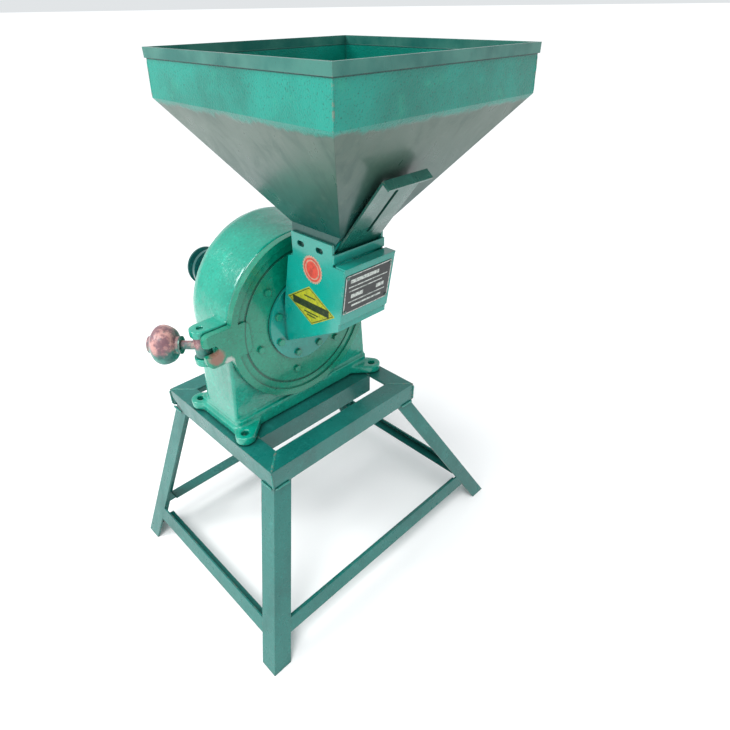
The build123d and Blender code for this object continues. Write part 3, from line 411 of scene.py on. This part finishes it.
def rubber_material():
    s = Shader("seal_rubber")
    base = s.blend(s.span(s.noise(80, 3), 0.3, 0.7), colour(18, 18, 18), colour(44, 44, 42))
    return s.finish(base, s.span(s.noise(40, 3), 0.3, 0.7, 0.55, 0.8), s.bump(s.noise(500, 2), 0.0001))


def plate_material():
    """Blackened plate face with faint scuffs."""
    s = Shader("plate_black")
    scuff = s.span(s.noise(60, 5, 0.7, where=s.stretched((1, 1, 6))), 0.56, 0.74)
    base = s.blend(s.calc("MULTIPLY", scuff, 0.35), colour(26, 30, 30), colour(96, 104, 100))
    rough = s.span(s.noise(40, 3), 0.3, 0.7, 0.3, 0.5)
    return s.finish(base, rough, s.bump(s.noise(300, 2), 0.00005), coat=0.2)


def print_material(name, tint, worn):
    s = Shader(name)
    base = s.blend(s.span(s.noise(220, 4, 0.7), 0.42, 0.66), tint, worn)
    sheen = s.span(s.noise(90, 3), 0.3, 0.7, 0.3, 0.5)
    return s.finish(base, sheen, s.bump(s.noise(500, 2), 0.00004), metallic=0.2)


ball_paint = primer_material()
rubber = rubber_material()
plate_black = plate_material()
plate_silver = print_material("plate_silver", colour(196, 202, 196), colour(120, 130, 124))
label_yellow = print_material("label_yellow", colour(176, 176, 34), colour(126, 138, 36))
label_dark = print_material("label_dark", colour(28, 40, 22), colour(60, 70, 34))
label_red = print_material("label_red", colour(206, 74, 58), colour(168, 60, 50))
label_pale = print_material("label_pale", colour(196, 150, 130), colour(150, 128, 108))
weld_paint = enamel(
    "weld_enamel", colour(10, 84, 78), colour(34, 126, 114), colour(80, 162, 148), peel=500,
    peel_depth=0.0004, lumps=150, lump_depth=0.0006, rough=(0.2, 0.4), coat=0.5, wear=0.5, radius=0.0004,
)

by_slot = {
    "stand_paint": stand_paint, "casing_paint": casing_paint, "door_paint": door_paint,
    "chute_paint": chute_paint, "hopper_paint": hopper_paint, "gate_paint": gate_paint,
    "plate_black": plate_black, "machined_steel": machined, "screen_steel": screen_metal,
    "bolt_steel": bolt_metal, "pulley_iron": pulley_paint, "brass_fitting": brass,
    "seal_rubber": rubber, "ball_primer": ball_paint,
}
by_node = {
    "bearing_housing": housing_paint, "bearing_cap": housing_paint, "housing_bolts": housing_paint,
    "stator_bolts": door_paint, "chute_bolts": door_paint, "latch_pin": casing_paint,
    "swing_bolt": ball_paint,
}
for part in frame["record"]["subparts"]:
    name = part["node"]
    obj = nodes[name]
    finish = by_node.get(name) or by_slot[part["material_slot"]]
    obj.data.materials.clear()
    obj.data.materials.append(finish)


# ---------------------------------------------------------------- edges of the CAD nodes
def shade(obj, angle=32):
    flags = [True] * len(obj.data.polygons)
    obj.data.polygons.foreach_set("use_smooth", flags)
    obj.data.set_sharp_from_angle(angle=math.radians(angle))


def soften(name, width, segments=2, angle=35):
    """Merges flat triangles, then rounds the sharp edges."""
    obj = nodes[name]
    flat = obj.modifiers.new("merge", "DECIMATE")
    flat.decimate_type = "DISSOLVE"
    flat.angle_limit = math.radians(0.3)
    rounding = obj.modifiers.new("round", "BEVEL")
    rounding.width = width
    rounding.segments = segments
    rounding.limit_method = "ANGLE"
    rounding.angle_limit = math.radians(angle)
    even = obj.modifiers.new("even", "WEIGHTED_NORMAL")
    even.keep_sharp = False
    even.weight = 80


for obj in nodes.values():
    shade(obj)

stand_nodes = [n for n in nodes if n.startswith(("rail_", "leg_", "brace_", "crossbar_"))]
for name in stand_nodes:
    soften(name, 0.0011, 3)
for name, width in (
    ("hopper", 0.0006), ("feed_chute", 0.0008), ("front_panel", 0.0006), ("feed_gate", 0.0006),
    ("gate_guide", 0.0006), ("throat_baffle", 0.0006),
):
    soften(name, width, 2)


def cast(name, voxel, passes, lump, depth):
    """Soft cast edges and a slightly lumpy skin that never stands proud of the machined shape."""
    obj = nodes[name]
    grid = obj.modifiers.new("cast", "REMESH")
    grid.mode = "VOXEL"
    grid.voxel_size = voxel
    grid.use_smooth_shade = True
    relax = obj.modifiers.new("relax", "SMOOTH")
    relax.factor = 0.5
    relax.iterations = passes
    skin = bpy.data.textures.new(name + "_skin", "CLOUDS")
    skin.noise_scale = lump
    skin.noise_depth = 2
    push = obj.modifiers.new("skin", "DISPLACE")
    push.texture = skin
    push.texture_coords = "LOCAL"
    push.mid_level = 1.0
    push.strength = depth


cast("mill_casing", 0.0018, 5, 0.02, 0.0008)


# ---------------------------------------------------------------- small pieces
def new_object(name, mesh, material, body, smooth=True):
    obj = bpy.data.objects.new(name, mesh)
    bpy.context.scene.collection.objects.link(obj)
    obj.data.materials.append(material)
    if smooth:
        obj.data.polygons.foreach_set("use_smooth", [True] * len(obj.data.polygons))
    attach(obj, body)
    return obj


def bead(name, start, end, radius, body, material=None, flat=1.0, up=None, pitch=None):
    """A weld bead: a lumpy rippled rod between two points, flattened against the surface along up."""
    start, end = Vector(start), Vector(end)
    along = (end - start).normalized()
    up = Vector(up or (0, 0, 1))
    side = along.cross(up).normalized()
    rise = side.cross(along).normalized()
    length = (end - start).length
    pitch = pitch or radius * 1.1
    steps = max(6, int(length / pitch * 4))
    mesh = bmesh.new()
    rings = []
    for i in range(steps + 1):
        t = i / steps
        ripple = 0.86 + 0.14 * abs(math.sin(math.pi * t * length / pitch))
        wander = noise.noise(start * 50 + along * (t * length * 90)) * 0.18
        taper = min(1.0, 0.35 + 8 * min(t, 1 - t))
        r = radius * (ripple + wander) * taper
        wander = noise.noise(end * 40 + along * (t * length * 60)) * radius * 0.25
        centre = start.lerp(end, t) + side * wander
        ring = []
        for k in range(10):
            a = 2 * math.pi * k / 10
            ring.append(mesh.verts.new(centre + side * (math.cos(a) * r) + rise * (math.sin(a) * r * flat)))
        rings.append(ring)
    for low, high in zip(rings, rings[1:]):
        for k in range(10):
            mesh.faces.new((low[k], low[(k + 1) % 10], high[(k + 1) % 10], high[k]))
    mesh.faces.new(list(reversed(rings[0])))
    mesh.faces.new(rings[-1])
    bmesh.ops.recalc_face_normals(mesh, faces=mesh.faces)
    data = bpy.data.meshes.new(name)
    mesh.to_mesh(data)
    mesh.free()
    return new_object(name, data, material or weld_paint, body)


def outline_plate(name, points, thick, plane, material, body):
    """A thin flat piece: an outline in plane coordinates, extruded out of the plane."""
    mesh = bmesh.new()
    ring = [mesh.verts.new((x, y, 0)) for x, y in points]
    face = mesh.faces.new(ring)
    moved = bmesh.ops.extrude_face_region(mesh, geom=[face])
    tops = [v for v in moved["geom"] if isinstance(v, bmesh.types.BMVert)]
    bmesh.ops.translate(mesh, verts=tops, vec=(0, 0, thick))
    bmesh.ops.recalc_face_normals(mesh, faces=mesh.faces)
    mesh.transform(plane)
    data = bpy.data.meshes.new(name)
    mesh.to_mesh(data)
    mesh.free()
    return new_object(name, data, material, body, smooth=False)


def rectangle(cx, cy, w, h):
    left, right, low, high = cx - w / 2, cx + w / 2, cy - h / 2, cy + h / 2
    return [(left, low), (right, low), (right, high), (left, high)]


def plane_at(origin, right, up):
    right, up = Vector(right).normalized(), Vector(up).normalized()
    out = right.cross(up)
    grid = Matrix((right, up, out)).transposed().to_4x4()
    grid.translation = origin
    return grid


# Weld beads down the hopper's rim corners, which lean out from the hem to the fold
rim_top_inset = (0.0030, 0.0026)
rim_fold_inset = (0.0008, 0.0018)
for tag, side_x, side_y in (
    ("front_left", -1, -1), ("front_right", 1, -1), ("back_left", -1, 1), ("back_right", 1, 1),
):
    x = hopper_low.x if side_x < 0 else hopper_high.x
    y = hopper_low.y if side_y < 0 else hopper_high.y
    top = (x - side_x * rim_top_inset[0], y - side_y * rim_top_inset[1], hopper_high.z - 0.013)
    fold = (x - side_x * rim_fold_inset[0], y - side_y * rim_fold_inset[1], hopper_high.z - 0.057)
    bead("rim_weld_" + tag, top, fold, 0.0013, "door", hopper_paint, up=(1, 0, 0))

# Mitre welds on top of the stand and fillet welds at its joints
rail_low, rail_high = (Vector(v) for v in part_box("rail_front"))
back_high = Vector(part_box("rail_back")[1])
rail = rail_high.y - rail_low.y
for tag, corner, step in (
    ("fl", (rail_low.x, rail_low.y), (1, 1)), ("fr", (rail_high.x, rail_low.y), (-1, 1)),
    ("bl", (rail_low.x, back_high.y), (1, -1)), ("br", (rail_high.x, back_high.y), (-1, -1)),
):
    a = Vector((corner[0] + step[0] * 0.002, corner[1] + step[1] * 0.002, stand_top))
    b = Vector((corner[0] + step[0] * rail, corner[1] + step[1] * rail, stand_top))
    bead("mitre_weld_" + tag, a, b, 0.0022, "mill_body", flat=0.28)
    c = Vector((corner[0] - step[0] * 0.0004, corner[1] - step[1] * 0.0004, stand_top - rail + 0.002))
    bead("corner_weld_" + tag, c, c + Vector((0, 0, rail - 0.006)), 0.0018, "mill_body", up=(1, 0, 0))
    d = Vector((corner[0] + step[0] * 0.003, corner[1] - step[1] * 0.0012, stand_top - rail - 0.001))
    bead("leg_weld_" + tag, d, d + Vector((step[0] * 0.03, 0, 0)), 0.0024, "mill_body")
    e = Vector((corner[0] - step[0] * 0.0012, corner[1] + step[1] * 0.003, stand_top - rail - 0.001))
    bead("leg_side_weld_" + tag, e, e + Vector((0, step[1] * 0.03, 0)), 0.0024, "mill_body")

for bar in ("crossbar_front", "crossbar_back"):
    low, high = (Vector(v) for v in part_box(bar))
    for tag, x in (("left", low.x), ("right", high.x)):
        start, end = (x, low.y + 0.001, high.z), (x, high.y - 0.001, high.z)
        bead(f"{bar}_weld_{tag}", start, end, 0.002, "mill_body", flat=0.4)

# Panel plane of the name plate
plate_low, plate_high = (Vector(v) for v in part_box("name_plate"))
lean = math.atan2(16, 95)
out_dir = Vector((0, -math.cos(lean), -math.sin(lean)))
up_dir = Vector((0, -math.sin(lean), math.cos(lean)))
plate_mid = (plate_low + plate_high) / 2
plate_half = Vector((plate_high.x - plate_low.x, 0, 0)).x / 2
plate_tall = 0.0315
face = plane_at(plate_mid + out_dir * 0.00036, (1, 0, 0), up_dir)
edge = 0.0016
for tag, cx, cy, w, h in (
    ("top", 0, plate_tall - 0.0012, 2 * plate_half - 0.003, edge),
    ("bottom", 0, -plate_tall + 0.0012, 2 * plate_half - 0.003, edge),
    ("left", -plate_half + 0.0012, 0, edge, 2 * plate_tall - 0.004),
    ("right", plate_half - 0.0012, 0, edge, 2 * plate_tall - 0.004),
):
    outline_plate("plate_border_" + tag, rectangle(cx, cy, w, h), 0.00018, face, plate_silver, "door")
row_y = 0.0235
for row, (height, parts) in enumerate((
    (0.0058, ((-0.008, 0.056),)), (0.0018, ((0.0, 0.078),)), (0.0018, ((-0.004, 0.066),)),
    (0.0062, ((-0.021, 0.024), (0.026, 0.016))), (0.0018, ((0.0, 0.074),)), (0.0030, ((0.0, 0.060),)),
)):
    for column, (cx, w) in enumerate(parts):
        outline = rectangle(cx, row_y - height / 2, w, height)
        outline_plate(f"plate_row_{row}_{column}", outline, 0.00014, face, plate_silver, "door")
    row_y -= height + 0.0050

# Generic labels on the chute's left side
wall = plane_at(Vector((panel_low.x, panel_low.y + 0.080, panel_high.z - 0.081)), (0, -1, 0), (0, 0, 1))
half_w, half_h = 0.054, 0.032


def diamond(scale, lift=0.0):
    wide, tall = half_w * scale, half_h * scale
    return [(wide, lift), (0, tall + lift), (-wide, lift), (0, -tall + lift)]


def raised(plane, by):
    return plane @ Matrix.Translation((0, 0, by))


outline_plate("label_diamond", diamond(1.0), 0.00016, wall, label_yellow, "door")
for tag, sx, sy in (("a", 1, 1), ("b", -1, 1), ("c", -1, -1), ("d", 1, -1)):
    o, i = 0.94, 0.90
    outline_plate(
        "label_rule_" + tag,
        [
            (sx * half_w * o, 0), (0, sy * half_h * o), (0, sy * half_h * i), (sx * half_w * i, 0),
        ][:: (1 if sx * sy > 0 else -1)],
        0.00008, raised(wall, 0.00016), label_dark, "door")
band = [(-0.041, -0.0062), (0.041, -0.0062), (0.0415, 0.0062), (-0.0415, 0.0062)]
outline_plate("label_band", band, 0.00008,
              raised(wall, 0.00016), label_dark, "door")
for row, (cy, w) in enumerate(((0.0145, 0.026), (-0.0125, 0.032), (-0.0172, 0.020))):
    stroke = rectangle(0, cy, w, 0.0022)
    outline_plate(f"label_bar_{row}", stroke, 0.00008, raised(wall, 0.00016), label_dark, "door")

seal = plane_at(Vector((panel_low.x, panel_low.y + 0.070, panel_high.z - 0.020)), (0, -1, 0), (0, 0, 1))


def rosette(radius, lobes, depth, count=120):
    ring = []
    for k in range(count):
        a = 2 * math.pi * k / count
        r = radius - depth * (0.5 + 0.5 * math.cos(lobes * a))
        ring.append((r * math.cos(a), r * math.sin(a)))
    return ring


outline_plate("seal_back", rosette(0.0215, 26, 0.0016), 0.00014, seal, label_pale, "door")
outline_plate("seal_ring", rosette(0.0178, 1, 0.0), 0.00008, raised(seal, 0.00014), label_red, "door")
outline_plate("seal_pale", rosette(0.0150, 1, 0.0), 0.00006, raised(seal, 0.00022), label_pale, "door")
outline_plate("seal_middle", rosette(0.0128, 1, 0.0), 0.00006, raised(seal, 0.00028), label_red, "door")

# ---------------------------------------------------------------- stage, lights, camera
floor_mesh = bpy.data.meshes.new("floor")
floor_mesh.from_pydata([(-300, -300, 0), (300, -300, 0), (300, 300, 0), (-300, 300, 0)], [], [(0, 1, 2, 3)])
floor = bpy.data.objects.new("floor", floor_mesh)
floor.location.z = cad_low[2] - 0.0002
bpy.context.scene.collection.objects.link(floor)
pale = Shader("floor_pale")
floor.data.materials.append(pale.finish((0.9, 0.9, 0.9, 1), 1.0, specular=0.0))
floor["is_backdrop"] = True

world = bpy.data.worlds.new("studio")
bpy.context.scene.world = world
world.use_nodes = True
background = world.node_tree.nodes["Background"]
background.inputs["Color"].default_value = (0.95, 0.98, 1.0, 1)
background.inputs["Strength"].default_value = 0.8


def lamp(name, place, target, size, power, tint=(1, 1, 1)):
    light = bpy.data.lights.new(name, "AREA")
    light.shape = "RECTANGLE"
    light.size, light.size_y = size
    light.energy = power
    light.color = tint
    obj = bpy.data.objects.new(name, light)
    bpy.context.scene.collection.objects.link(obj)
    obj.location = place
    obj.rotation_euler = (Vector(target) - Vector(place)).to_track_quat("-Z", "Y").to_euler()
    return obj


middle = Vector((shaft.x, shaft.y, 0.5))
lamp("key", (-1.6, 1.0, 2.2), middle, (1.0, 0.7), 34)
lamp("left_fill", (-2.4, -0.9, 1.3), middle, (1.6, 1.6), 14)
sun = bpy.data.lights.new("sky", "SUN")
sun.energy = 1.4
sun.angle = math.radians(24)
sun_place = bpy.data.objects.new("sky", sun)
bpy.context.scene.collection.objects.link(sun_place)
sun_place.rotation_euler = Vector((0.42, 0.25, -1.0)).to_track_quat("-Z", "Y").to_euler()

azimuth, elevation, roll = (math.radians(v) for v in (-44.24, 35.52, -0.78))
back_dir = Vector((
    math.sin(azimuth) * math.cos(elevation), -math.cos(azimuth) * math.cos(elevation), math.sin(elevation),
))
right_dir = Vector((math.cos(azimuth), math.sin(azimuth), 0))
above = right_dir.cross(-back_dir)
cam_right = right_dir * math.cos(roll) + above * math.sin(roll)
cam_up = -right_dir * math.sin(roll) + above * math.cos(roll)
camera = bpy.data.objects.new("camera", bpy.data.cameras.new("camera"))
bpy.context.scene.collection.objects.link(camera)
grid = Matrix((cam_right, cam_up, back_dir)).transposed().to_4x4()
rail_mid = (rail_low.x + rail_high.x) / 2, (rail_low.y + back_high.y) / 2
grid.translation = Vector((rail_mid[0] - 0.49524, rail_mid[1] - 0.6991, cad_low[2] + 0.96279))
camera.matrix_world = grid
camera.data.sensor_width = 36
camera.data.lens = 26.176
camera.data.shift_x = 0.0077
camera.data.shift_y = 0.026
camera.data.clip_start = 0.01
camera.data.clip_end = 1000
bpy.context.scene.camera = camera
bpy.context.scene.view_settings.view_transform = "Standard"
bpy.context.scene.view_settings.exposure = 0.0

low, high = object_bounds()
